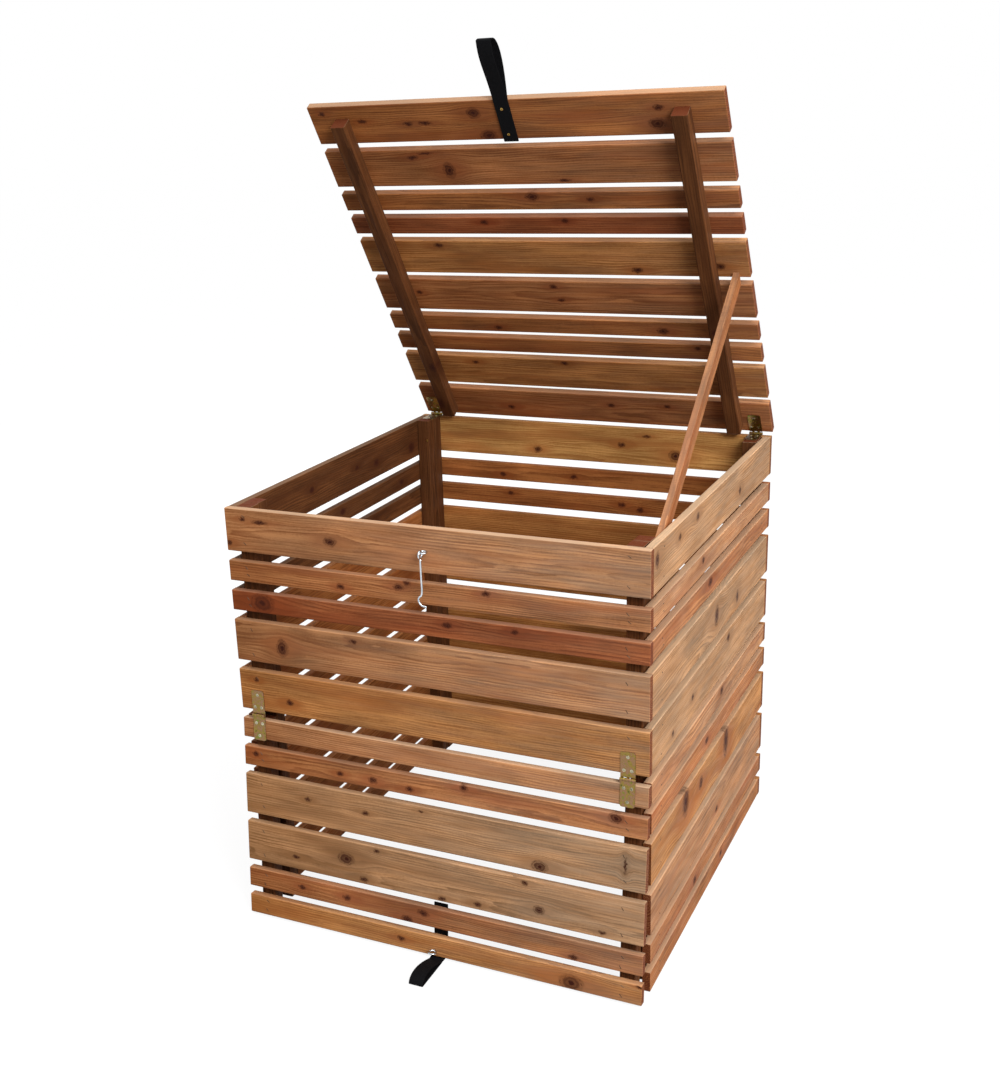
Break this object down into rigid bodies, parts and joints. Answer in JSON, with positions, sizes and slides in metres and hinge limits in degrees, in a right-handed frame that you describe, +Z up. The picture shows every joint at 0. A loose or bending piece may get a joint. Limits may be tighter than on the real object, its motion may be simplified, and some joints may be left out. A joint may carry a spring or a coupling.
{
  "type": "compost bin with lid",
  "caption": "Square slatted timber compost bin with a slatted hinged lid held up by a prop stick, a drop hatch in the lower front, a cabin hook with screw eyes and webbing pulls.",
  "frame": {"origin": "middle of the back wall's foot, at mid-thickness of its lowest slat", "axes": "+Z up, +Y to the rear, +X to the right seen from the front"},
  "size_m": [0.942, 1.1188, 1.878],
  "materials": {
    "front_timber": "oiled golden brown softwood",
    "red_timber": "oiled reddish brown softwood",
    "side_timber": "oiled light brown softwood",
    "inner_timber": "oiled brown softwood",
    "batten_timber": "oiled dark brown softwood",
    "lid_timber": "oiled brown softwood",
    "prop_timber": "sawn reddish softwood",
    "yellow_zinc": "yellow passivated zinc plate",
    "bright_zinc": "bright zinc plate",
    "webbing": "woven black webbing"
  },
  "bodies": {
    "bin": {"back_wall": "inner_timber", "left_wall": "inner_timber", "right_slat_1": "side_timber", "right_slat_2": "side_timber", "right_slat_3": "side_timber", "right_slat_4": "side_timber", "right_slat_5": "side_timber", "right_slat_6": "side_timber", "right_slat_7": "side_timber", "right_slat_8": "side_timber", "right_slat_9": "side_timber", "right_slat_10": "side_timber", "right_slat_11": "side_timber", "right_batten_front": "batten_timber", "right_batten_rear": "batten_timber", "front_slat_1": "front_timber", "front_slat_2": "red_timber", "front_slat_3": "red_timber", "front_slat_4": "front_timber", "front_slat_5": "front_timber", "front_batten_right": "batten_timber", "lid_hinge_left_fixed_leaf": "yellow_zinc", "lid_hinge_left_pin": "yellow_zinc", "lid_hinge_right_fixed_leaf": "yellow_zinc", "lid_hinge_right_pin": "yellow_zinc", "hatch_hinge_left_fixed_leaf": "yellow_zinc", "hatch_hinge_left_pin": "yellow_zinc", "hatch_hinge_right_fixed_leaf": "yellow_zinc", "hatch_hinge_right_pin": "yellow_zinc", "front_eye": "bright_zinc"},
    "lid": {"lid_slat_1": "lid_timber", "lid_slat_2": "lid_timber", "lid_slat_3": "lid_timber", "lid_slat_4": "lid_timber", "lid_slat_5": "lid_timber", "lid_slat_6": "lid_timber", "lid_slat_7": "lid_timber", "lid_slat_8": "lid_timber", "lid_slat_9": "lid_timber", "lid_slat_10": "lid_timber", "lid_batten_left": "batten_timber", "lid_batten_right": "batten_timber", "lid_hinge_left_moving_leaf": "yellow_zinc", "lid_hinge_right_moving_leaf": "yellow_zinc", "lid_pull": "webbing"},
    "prop": {"prop_stick": "prop_timber"},
    "hatch": {"hatch_slat_1": "red_timber", "hatch_slat_2": "red_timber", "hatch_slat_3": "front_timber", "hatch_slat_4": "front_timber", "hatch_slat_5": "red_timber", "hatch_slat_6": "red_timber", "hatch_batten_left": "batten_timber", "hatch_batten_right": "batten_timber", "hatch_hinge_left_moving_leaf": "yellow_zinc", "hatch_hinge_right_moving_leaf": "yellow_zinc", "hatch_eye": "bright_zinc", "hatch_pull_tail": "webbing"},
    "hatch_loop": {"hatch_pull_loop": "webbing"},
    "hook": {"hook": "bright_zinc"}
  },
  "joints": [
    {"name": "lid_hinge", "type": "hinge", "parent": "bin", "child": "lid", "pos_m": [0, 0.003, 0.9698], "axis": [-1, 0, 0], "range_deg": [-56.2, 44]},
    {"name": "prop_swing", "type": "hinge", "parent": "lid", "child": "prop", "pos_m": [0.4425, -0.26334, 1.37395], "axis": [1, 0, 0], "range_deg": [0, 24]},
    {"name": "hatch_hinge", "type": "hinge", "parent": "bin", "child": "hatch", "pos_m": [0, -0.9548, 0.49225], "axis": [-1, 0, 0], "range_deg": [-5, 159]},
    {"name": "hatch_loop_turn", "type": "hinge", "parent": "hatch", "child": "hatch_loop", "pos_m": [0.009, -1.00196, 0.0005], "axis": [-1, 0, 0], "range_deg": [-159, 5]},
    {"name": "hook_swing", "type": "hinge", "parent": "bin", "child": "hook", "pos_m": [0.00279, -0.97099, 0.919], "axis": [-1, 0, 0], "range_deg": [0, 115]}
  ],
  "couplings": [
    {"joint": "hatch_loop_turn", "follows": "hatch_hinge", "ratio": -1}
  ]
}
